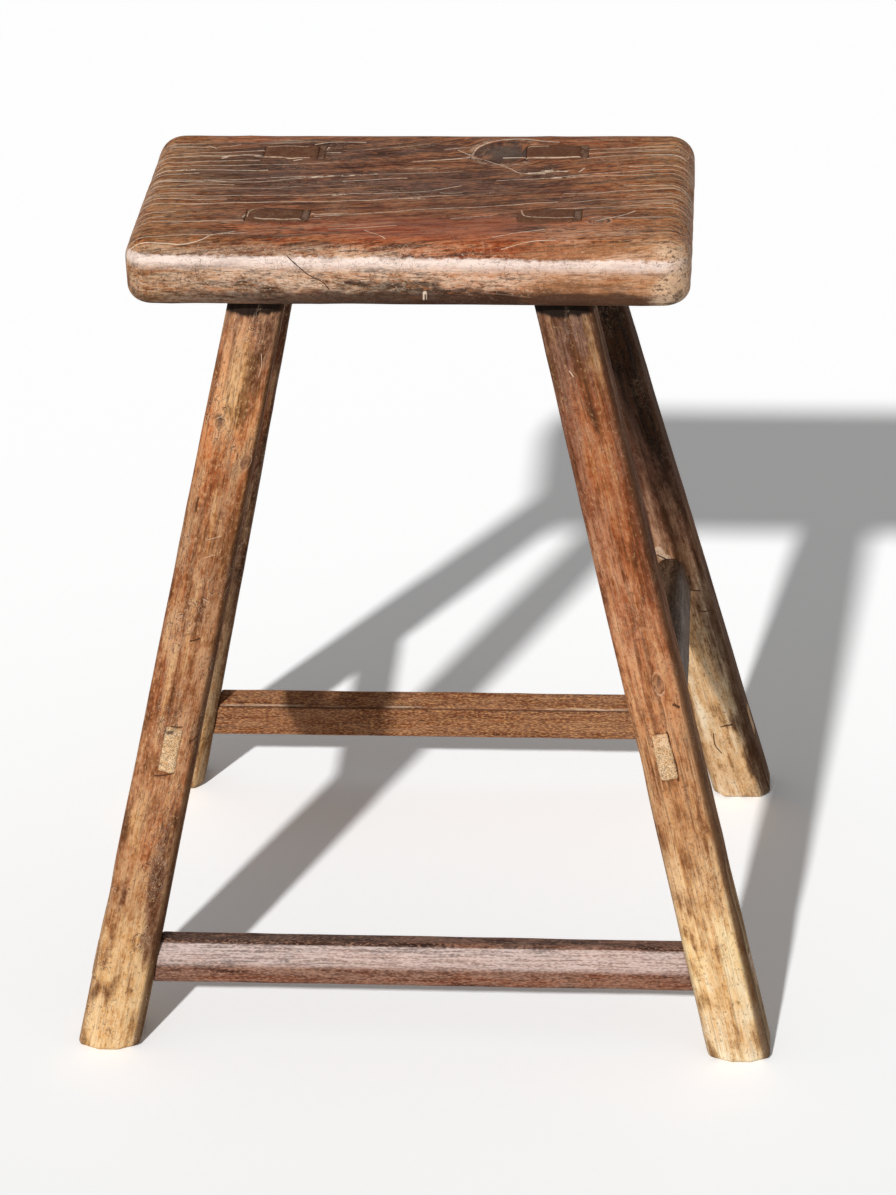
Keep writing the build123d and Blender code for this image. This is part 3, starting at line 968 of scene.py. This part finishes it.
def draw_streaks(wood, width, dark, light, where=1.0):
    """Dark and light streaks along the grain, of a width in mm."""
    scale = 1000 / width
    streaks = wood.noise(wood.grain, (scale / 20, scale, scale), 3, 0.65)
    wood.darken(wood.band(streaks, 0.36, 0.47, dark, 0.0), where)
    wood.lay(wood.tints["light"], wood.band(streaks, 0.54, 0.66, 0.0, light), where)
    return streaks


def thicken(wood, streaks, mottles, crinkles, fibres):
    """The coloured layer of oil and dirt, thicker and thinner from place to place."""
    parts = ((wood.streak, streaks), (wood.mottle, mottles), (wood.crinkle, crinkles), (wood.fibre, fibres))
    thickness = wood.calc("SMOOTH_MAX", wood.total(parts, 1.06), 0.90, 0.25)
    wood.colour = wood.node("Gamma", {"Color": wood.colour, "Gamma": thickness})
    wood.darken(wood.band(thickness, 1.25, 2.2, 0.0, 0.35))


# %% [markdown]
# ## Pores, grit and scars
#
# The next layers are small. Pores open where fibres were cut, grit and chips sit on top with painted
# glints among them, and crazing comes in patches. A thin line needs no drawing: where a smooth noise
# passes through its middle value it does so on a curve, and a narrow band round that value turns the
# curve into a crack.

# %% Open grain, grit and crazing
def open_grain(wood, strength, where=1.0):
    """Dark pores and fibre edges, and pale specks that are partly chips in the layer and partly painted
    glints.
    """
    wood.darken(wood.band(wood.fibre, 0.34, 0.43, 0.5 * strength, 0.0))
    wood.darken(wood.band(wood.pores, 0.58, 0.67, 0.0, 0.65 * strength), where)
    wood.lay(pale, wood.band(wood.fine, 0.68, 0.76, 0.0, 0.2 * strength))
    wood.darken(wood.band(wood.fine, 0.24, 0.36, 0.5 * strength, 0.0))
    wood.sink(wood.band(wood.pores, 0.60, 0.72), 0.12 * MM)


def speckle(wood, dark, light, where=1.0, tint=pale):
    """Dark and pale grit, about a millimetre across."""
    grit = wood.noise(wood.place, (420, 560, 560), 3, 0.7)
    wood.darken(wood.band(grit, 0.34, 0.44, dark, 0.0), where)
    wood.lay(tint, wood.band(grit, 0.57, 0.68, 0.0, light), where)


def craze(wood, strength):
    """Short curled cracks and scars with a worn pale lip, in some places and not in others."""
    off_curl = wood.off(wood.noise(wood.place, (170, 260, 260), 1.5))
    where = wood.band(wood.noise(wood.place, (30, 60, 60), 2), 0.50, 0.60, 0.0, strength)
    scar = wood.product(wood.band(off_curl, 0.006, 0.022, 1.0, 0.0), where)
    lip = wood.product(wood.band(off_curl, 0.020, 0.030), wood.band(off_curl, 0.036, 0.050, 1.0, 0.0))
    wood.lay(pale, lip, where, 0.45)
    wood.darken(scar, 0.75)
    wood.sink(scar, 0.25 * MM)


# %% Knots
def draw_knots(wood, rings, core):
    """Growth rings that darken towards a core, with a crack round the rim."""
    distance = wood.total(((wood.fine, 0.3), (wood.crinkle, 0.6)), wood.read("knot", "Fac"))
    wood.lay(core, wood.band(distance, 0.15, 1.1, 1.0, 0.0), 0.8)
    turns = wood.calc("SINE", wood.product(distance, rings * math.tau))
    ring = wood.product(wood.band(turns, 0.2, 1.0), wood.band(distance, 0.95, 1.1, 1.0, 0.0))
    wood.darken(ring, 0.3)
    at_rim = wood.band(wood.off(distance, 1.0), 0.03, 0.12, 1.0, 0.0)
    crack = wood.product(at_rim, wood.band(wood.mottle, 0.42, 0.55))
    wood.darken(crack, 0.6)
    wood.sink(crack, 0.20 * MM)
    rim = wood.product(wood.band(distance, 1.10, 1.22), wood.band(distance, 1.26, 1.4, 1.0, 0.0))
    wood.lay(pale, rim, wood.band(wood.crinkle, 0.40, 0.60, 0.0, 0.5))


# %% Strokes, and the wiring of the layers
def stroke(wood, side, near):
    """1 on the nearest stroke and 0 beside it, from its stored side and nearness."""
    shake = wood.product(wood.calc("SUBTRACT", wood.crinkle, 0.5), 0.8)
    edge = wood.band(wood.calc("ADD", wood.calc("ABSOLUTE", side), shake), 0.6, 1.4, 1.0, 0.0)
    return wood.product(edge, wood.band(near, 0.4, 1.0, 1.0, 0.0))


def draw_strokes(wood, tint=pale):
    """Pale scratches and worn lines, and dark cracks and seams."""
    stored = wood.read("strokes", "Color")
    pale_side, pale_near, dark_side = wood.node("SeparateColor", {0: stored}).node.outputs
    scratch = stroke(wood, pale_side, pale_near)
    wood.lay(tint, scratch, wood.band(wood.crinkle, 0.36, 0.52, 0.3, 0.95))
    crack = stroke(wood, dark_side, stored.node.outputs["Alpha"])
    wood.darken(crack, 0.92)
    wood.sink(crack, 0.4 * MM)


def finish(wood, gloss=0.05):
    """Wires the layers into the shader. The gloss is the strength of reflections."""
    shader = wood.tree.nodes["Principled BSDF"].inputs
    normal = wood.node("Bump", {"Height": wood.height, "Strength": 1.0, "Distance": 1.0})
    for socket, value in (("Base Color", wood.colour), ("Roughness", wood.roughness), ("Normal", normal)):
        wood.tree.links.new(value, shader[socket])
    shader["Specular IOR Level"].default_value = gloss
    print(wood.owner.name, "has", len(wood.tree.nodes), "nodes")
    return wood.owner


# %% [markdown]
# ## The seat's finish
#
# The top is dark and polished by use, purple-grey in the middle where it was handled most, and red to
# orange where the patina is thin. The front edge has worn through to tan. Long pale lines follow the
# grain: they are hard late wood, rubbed proud. Where noise that hardly changes along the grain crosses
# its middle value there is a thin long line, which spaces them unevenly without a list of places.

# %% Seat: tints, ground colour and layer
seat_tints = tint_set(
    deep=(0.050, 0.022, 0.013),
    mid=(0.29, 0.105, 0.042),
    light=(0.52, 0.220, 0.092),
    dark=(0.116, 0.056, 0.039),
    warm=(0.53, 0.180, 0.075),
    worn=(0.78, 0.49, 0.33),
    black=(0.060, 0.036, 0.026),
)
seat = Wood("seat_wood_finish", seat_tints, (30, 1.3))
stain(seat, (0.25, 0.85), {"worn": 0.48, "black": 0.75})

towards_ends = seat.total(((seat.mottle, 0.09), (seat.streak, 0.07)), seat.calc("ABSOLUTE", seat.along))
seat.lay(colour(0.50, 0.250, 0.103), seat.band_mm(towards_ends, 90, 160, 0.0, 0.8))
on_front = seat.band_mm(seat.across, -77, -83)
seat.lay(colour(0.62, 0.49, 0.36), on_front, seat.band_mm(seat.along, 60, -40, 0.0, 0.35))
thicken(seat, 2.4, 3.0, 2.0, 3.4)
print("the seat has", len(seat_tints), "tints")

# %% Seat: streaks, late wood and grit
def late_wood_lines(wood, spacing, width, strength):
    """Long pale lines along the grain, proud of the wood between them."""
    spread = 1000 / spacing
    off_middle = wood.off(wood.noise(wood.grain, (1.2, spread, spread), 0))
    line = wood.band(off_middle, 0.10 * width / spacing, 0.32 * width / spacing, 1.0, 0.0)
    worn_through = wood.band(wood.noise(wood.place, (9, 60, 60), 2), 0.48, 0.66)
    shown = wood.product(line, worn_through, strength)
    wood.lay(pale, shown)
    wood.sink(shown, -0.12 * MM)


streaks = draw_streaks(seat, 4.3, 0.75, 0.5)
draw_streaks(seat, 1.7, 0.55, 0.35)
late_wood_lines(seat, 9.0, 0.75, 0.6)
open_grain(seat, 1.3, seat.band(on_front, 0.0, 1.0, 1.0, 0.3))
dashes = seat.noise(seat.grain, (150, 1100, 1100), 1)
seat.darken(seat.band(dashes, 0.58, 0.66), seat.band(on_front, 0.0, 1.0, 0.8, 0.25))
seat.lay(seat_tints["warm"], seat.band(dashes, 0.30, 0.38, 0.5, 0.0))
speckle(seat, 0.65, 0.5, on_front)
craze(seat, 0.6)
draw_knots(seat, 2.5, colour(0.10, 0.070, 0.052))
# Painted shade and some dirt along the back edge of the top.
seat.darken(seat.band_mm(seat.across, 76.5, 80, 0.0, 0.55))
print("nodes so far", len(seat.tree.nodes))

# %% Seat: handled patch to the left, and red glow in front of the middle
ragged_x = seat.total(((seat.mottle, 60 * MM), (seat.streak, 30 * MM)), seat.along)
ragged_y = seat.total(((seat.mottle, 30 * MM), (seat.streak, 20 * MM)), seat.across)
patch = seat.product(seat.strip_mm(ragged_x, -155, -130, -95, -70), seat.strip_mm(ragged_y, -14, 2, 50, 68))
seat.darken(patch, 0.32)
behind_nose = seat.band_mm(seat.across, -80, -75)
glow = seat.product(seat.strip_mm(ragged_x, -55, -20, 50, 80), seat.band_mm(ragged_y, -38, -50), behind_nose)
seat.lay(colour(0.37, 0.085, 0.04), glow, 0.36)
print("nodes so far", len(seat.tree.nodes))

# %% Front edge: brown to the right, dirty below, bare at the corner
brown_share = seat.product(seat.strip_mm(seat.along, 50, 90, 145, 158), on_front, 0.42)
seat.lay(colour(0.42, 0.19, 0.085), brown_share)
low_line = seat.total(((seat.mottle, 14 * MM), (seat.streak, 8 * MM)), seat.out)
dirt = seat.product(seat.band_mm(low_line, -27.5, -31.5, 0.0, 0.82), on_front)
seat.darken(dirt, seat.band_mm(seat.along, -120, -50, 0.6, 1.0))
corner_x = seat.total(((seat.mottle, 40 * MM),), seat.along)
corner_y = seat.total(((seat.mottle, -30 * MM),), seat.across)
corner = seat.product(seat.band_mm(corner_x, 138, 150), seat.band_mm(corner_y, -70, -82))
seat.lay(colour(0.84, 0.60, 0.40), corner, seat.band(seat.mottle, 0.38, 0.56, 0.1, 0.55))
speckle(seat, 0.5, 0.3, corner)
print("nodes so far", len(seat.tree.nodes))

# %% Painted highlight along the polished nose of the front edge, with a net of fine cracks
nose_line = seat.calc("MULTIPLY_ADD", seat.along, 0.010, seat.calc("ADD", seat.out, 2.7 * MM))
nose_line = seat.total(((seat.crinkle, 5 * MM), (seat.streak, 3 * MM)), nose_line)
nose_highlight = seat.product(
    seat.strip_mm(nose_line, -15.5, -7.5, -7.0, -4.6),
    seat.band_mm(seat.across, -74, -79),
    seat.band_mm(seat.along, 160, 145, 0.3, 1.0),
    seat.band(streaks, 0.36, 0.56, 0.72, 0.95),
)
# Painted highlight: a pale cream band along the polished nose.
seat.lay(colour(0.90, 0.73, 0.64), nose_highlight)
seat.shine(0.38, nose_highlight)
speckle(seat, 0.35, 0.3, nose_highlight)
off_varnish = seat.off(seat.noise(seat.place, (330, 330, 330), 2, 0.6))
cracks = seat.product(seat.band(off_varnish, 0.006, 0.020, 0.6, 0.0), seat.band(seat.streak, 0.42, 0.56))
seat.darken(cracks, nose_highlight)
print("nodes so far", len(seat.tree.nodes))

# %% Hair cracks, pits and strokes
off_hair = seat.off(seat.noise(seat.place, (260, 60, 70), 2))
hairs = seat.product(seat.band(off_hair, 0.004, 0.014, 1.0, 0.0), seat.band(seat.mottle, 0.45, 0.6))
seat.darken(hairs, seat.band_mm(seat.across, -70, -80, 0.0, 0.4))
seat.darken(corner, seat.band(seat.crinkle, 0.55, 0.62, 0.0, 0.7))
draw_strokes(seat, colour(0.78, 0.60, 0.45))
materials = {"seat_plank": finish(seat, 0.07)}

# %% [markdown]
# ## The legs' finish
#
# The legs are orange brown at the top and bare yellow tan at the feet, where mops and weather took
# the patina off. A colour ramp up the leg gives that, and its stops are shaken by the grain so that no
# level line shows. The right front leg is redder than the left one, so each leg has its own ramp.

# %% Leg tints, and how each leg differs
leg_tints = tint_set(
    deep=(0.080, 0.034, 0.016),
    light=(0.70, 0.39, 0.16),
    dark=(0.220, 0.105, 0.060),
    warm=(0.44, 0.150, 0.056),
    worn=(0.70, 0.42, 0.20),
    black=(0.014, 0.009, 0.007),
)
rear_leg_tints = {**leg_tints, "dark": colour(0.13, 0.07, 0.045)}
leg_grit = colour(0.80, 0.50, 0.24)
tenon_patina = colour(0.125, 0.052, 0.030)
leg_looks = {
    # fibre length and width in mm, the layer's four strengths, scars, light streaks, golden patches
    "front_left_leg": ((34, 1.3), (1.1, 1.8, 1.6, 0.9), 0.8, 0.4, 0.14),
    "front_right_leg": ((70, 1.3), (1.1, 1.5, 1.0, 0.8), 0.4, 0.25, 0.05),
    "rear_left_leg": ((30, 1.2), (1.4, 2.2, 1.4, 0.9), 0.6, 0.3, 0.10),
    "rear_right_leg": ((40, 1.2), (1.2, 1.3, 0.8, 0.9), 0.4, 0.06, 0.0),
}
print(len(leg_looks), "legs, each with its own fibre length and layer")

# %% Colours up each leg, from 0 at the floor to 1 at the seat's top
tenon_top = (0.97, (0.20, 0.090, 0.050))
leg_ramps = {
    "front_left_leg": [
        (0.00, (0.80, 0.53, 0.27)), (0.10, (0.66, 0.40, 0.185)), (0.17, (0.48, 0.25, 0.115)),
        (0.27, (0.46, 0.20, 0.09)), (0.42, (0.46, 0.22, 0.11)), (0.57, (0.39, 0.178, 0.084)),
        (0.66, (0.37, 0.165, 0.077)), (0.77, (0.63, 0.258, 0.108)), (0.91, (0.34, 0.175, 0.108)), tenon_top,
    ],
    "front_right_leg": [
        (0.00, (0.92, 0.76, 0.51)), (0.12, (0.94, 0.70, 0.37)), (0.19, (0.76, 0.47, 0.235)),
        (0.29, (0.52, 0.27, 0.125)), (0.43, (0.58, 0.27, 0.125)), (0.54, (0.48, 0.205, 0.102)),
        (0.66, (0.28, 0.100, 0.052)), (0.80, (0.25, 0.102, 0.059)), (0.91, (0.19, 0.110, 0.083)), tenon_top,
    ],
    # The rear legs' ramps darken to near black towards the top: partly dark patina, partly painted shade.
    "rear_left_leg": [
        (0.00, (0.66, 0.46, 0.26)), (0.12, (0.54, 0.35, 0.18)), (0.30, (0.34, 0.18, 0.10)),
        (0.48, (0.17, 0.080, 0.050)), (0.66, (0.14, 0.060, 0.040)), (0.91, (0.09, 0.045, 0.032)), tenon_top,
    ],
    "rear_right_leg": [
        (0.00, (0.92, 0.75, 0.52)), (0.26, (0.90, 0.68, 0.43)), (0.38, (0.56, 0.30, 0.17)),
        (0.50, (0.19, 0.088, 0.052)), (0.60, (0.085, 0.040, 0.027)), (0.70, (0.040, 0.021, 0.016)),
        (0.91, (0.028, 0.016, 0.012)), tenon_top,
    ],
}
print("stops on each ramp", [len(stops) for stops in leg_ramps.values()])

# %% Leg finishes
for node, (fibre, layer, scars, light, golden) in leg_looks.items():
    tints = rear_leg_tints if node.startswith("rear") else leg_tints
    leg = Wood(node + "_finish", tints, fibre, 1.0)
    ramp_along(leg, leg_ramps[node])
    stain(leg, (0.2, 0.95))
    # Painted shade along both long edges of each leg, stronger on the right side, away from the key light.
    leg.lay(tints["dark"], leg.band_mm(leg.across, -15.0, -18.5, 0.0, 0.5))
    leg.darken(leg.band_mm(leg.across, 13.5, 17.0, 0.0, 0.65))
    draw_streaks(leg, 3.0, 0.45, light, leg.band_mm(leg.along, 70, 170))
    leg.shine(0.85, 0.8)
    thicken(leg, *layer)
    patches = leg.total(((leg.mottle, 1.0), (leg.streak, 0.6)), 0.5)
    leg.darken(leg.band(patches, 0.51, 0.68, 0.0, 0.5))
    leg.lay(leg_grit, leg.band(patches, 0.49, 0.34, 0.0, golden))
    open_grain(leg, 0.7, leg.band_mm(leg.along, 70, 200, 0.3, 1.0))
    speckle(leg, 0.5, light, 1.0, leg_grit)
    # Painted shadow of the seat: a black band round each leg just below it.
    under_seat = leg.total(((leg.mottle, 8 * MM),), leg.along)
    painted_seat_shadow = leg.strip_mm(under_seat, 458.5, 461, 475, 480)
    leg.lay(tints["black"], painted_seat_shadow, 0.97)
    # Painted shade along the right arris of each leg.
    shaded_arris = leg.product(leg.band_mm(leg.across, 13.5, 16.5), leg.band_mm(leg.out, 7.0, 11.0))
    leg.darken(shaded_arris, 0.7)
    craze(leg, scars)
    draw_knots(leg, 1.5, tints["dark"])
    leg.lay(tenon_patina, leg.band_mm(leg.along, 492, 497, 0.0, 0.7))
    draw_strokes(leg)
    materials[node] = finish(leg)

# %% [markdown]
# ## The stretchers' finish
#
# The stretchers are darker and denser than the legs, with short wavy flecks, and rubbed smooth by
# shoes. Their tenon ends show pale end grain in the legs' outer faces.

# %% Stretcher and wedge tints
shared_tints = tint_set(worn=(0.62, 0.40, 0.22), black=(0.05, 0.033, 0.026))
stretcher_tints = {
    "front_stretcher": tint_set(
        deep=(0.050, 0.026, 0.020), mid=(0.25, 0.125, 0.085), light=(0.38, 0.21, 0.14),
        dark=(0.085, 0.049, 0.037), warm=(0.27, 0.105, 0.055),
    ),
    "rear_stretcher": tint_set(
        deep=(0.070, 0.028, 0.014), mid=(0.33, 0.145, 0.070), light=(0.66, 0.34, 0.14),
        dark=(0.14, 0.07, 0.045), warm=(0.30, 0.115, 0.055),
    ),
    # The side stretchers' dark tints are partly painted shade.
    "left_stretcher": tint_set(
        deep=(0.050, 0.028, 0.018), mid=(0.090, 0.053, 0.032), light=(0.16, 0.098, 0.058),
        dark=(0.055, 0.034, 0.024), warm=(0.26, 0.12, 0.06), worn=(0.98, 0.66, 0.38),
    ),
}
wedge_tints = tint_set(
    deep=(0.07, 0.035, 0.02), mid=(0.16, 0.083, 0.048), dark=(0.16, 0.10, 0.07),
    warm=(0.3, 0.13, 0.07), worn=(0.80, 0.53, 0.31), black=(0.05, 0.033, 0.026),
)
print("stretcher finishes", list(stretcher_tints))

# %% Stretcher finishes
def paint_rubbed_sheen(batten, flecks):
    """The upper front of the front stretcher, rubbed smooth by shoes, with a painted grey sheen of highlight
    over it.
    """
    upper = batten.strip_mm(batten.across, -2, 3, 12.8, 13.6)
    front = batten.band_mm(batten.out, 3, 5)
    specks = batten.band(batten.total(((flecks, 0.5), (batten.fibre, 1.0)), 0.5), 0.35, 0.62, 0.30, 0.82)
    sheen_and_rub = batten.product(upper, front, specks)
    # Painted highlight: a grey-pink sheen over the rubbed band.
    batten.lay(colour(0.74, 0.585, 0.53), sheen_and_rub, 0.85)
    batten.shine(0.42, sheen_and_rub)


def shade_line_and_chips(batten):
    """A painted shade line along the rear stretcher's front face, under its top edge, and pale chips along
    the edge above it.
    """
    face = batten.band_mm(batten.out, -6, -8)
    # Painted shade: a thin dark line under the top edge.
    batten.darken(batten.strip_mm(batten.across, 9.6, 10.4, 10.9, 11.6), face, 0.8)
    chipped = batten.band(batten.streak, 0.50, 0.62, 0.0, 0.8)
    batten.lay(pale, batten.strip_mm(batten.across, 10.8, 11.6, 12.4, 13.2), face, chipped)


for node, own_tints in stretcher_tints.items():
    batten = Wood(node + "_finish", {**shared_tints, **own_tints}, (24, 1.0))
    stain(batten)
    draw_streaks(batten, 3.0, 0.3, 0.3)
    thicken(batten, 1.2, 1.2, 1.2, 1.8)
    open_grain(batten, 1.0)
    flecks = batten.noise(batten.grain, (420, 1100, 1100), 1)
    batten.lay(batten.tints["light"], batten.band(flecks, 0.54, 0.64, 0.0, 0.6))
    batten.darken(batten.band(flecks, 0.34, 0.45, 0.5, 0.0))
    if node == "front_stretcher":
        paint_rubbed_sheen(batten, flecks)
    if node == "rear_stretcher":
        shade_line_and_chips(batten)
    draw_strokes(batten)
    materials[node] = finish(batten, 0.07)
materials["right_stretcher"] = materials["left_stretcher"]

# %% Wedge finish
wedge = Wood("wedge_finish", wedge_tints, (8, 0.7))
stain(wedge)
thicken(wedge, 1.2, 1.2, 1.6, 1.0)
specks = wedge.noise(wedge.grain, (420, 1100, 1100), 1)
wedge.darken(wedge.band(specks, 0.34, 0.45, 0.5, 0.0))
wedge_material = finish(wedge)

# %% Dress the pieces, and fix them to the frame
for node, piece in pieces.items():
    piece.data.materials.append(materials.get(node, wedge_material))
    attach(piece, "root")
    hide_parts(node)
print(len(pieces), "pieces dressed")
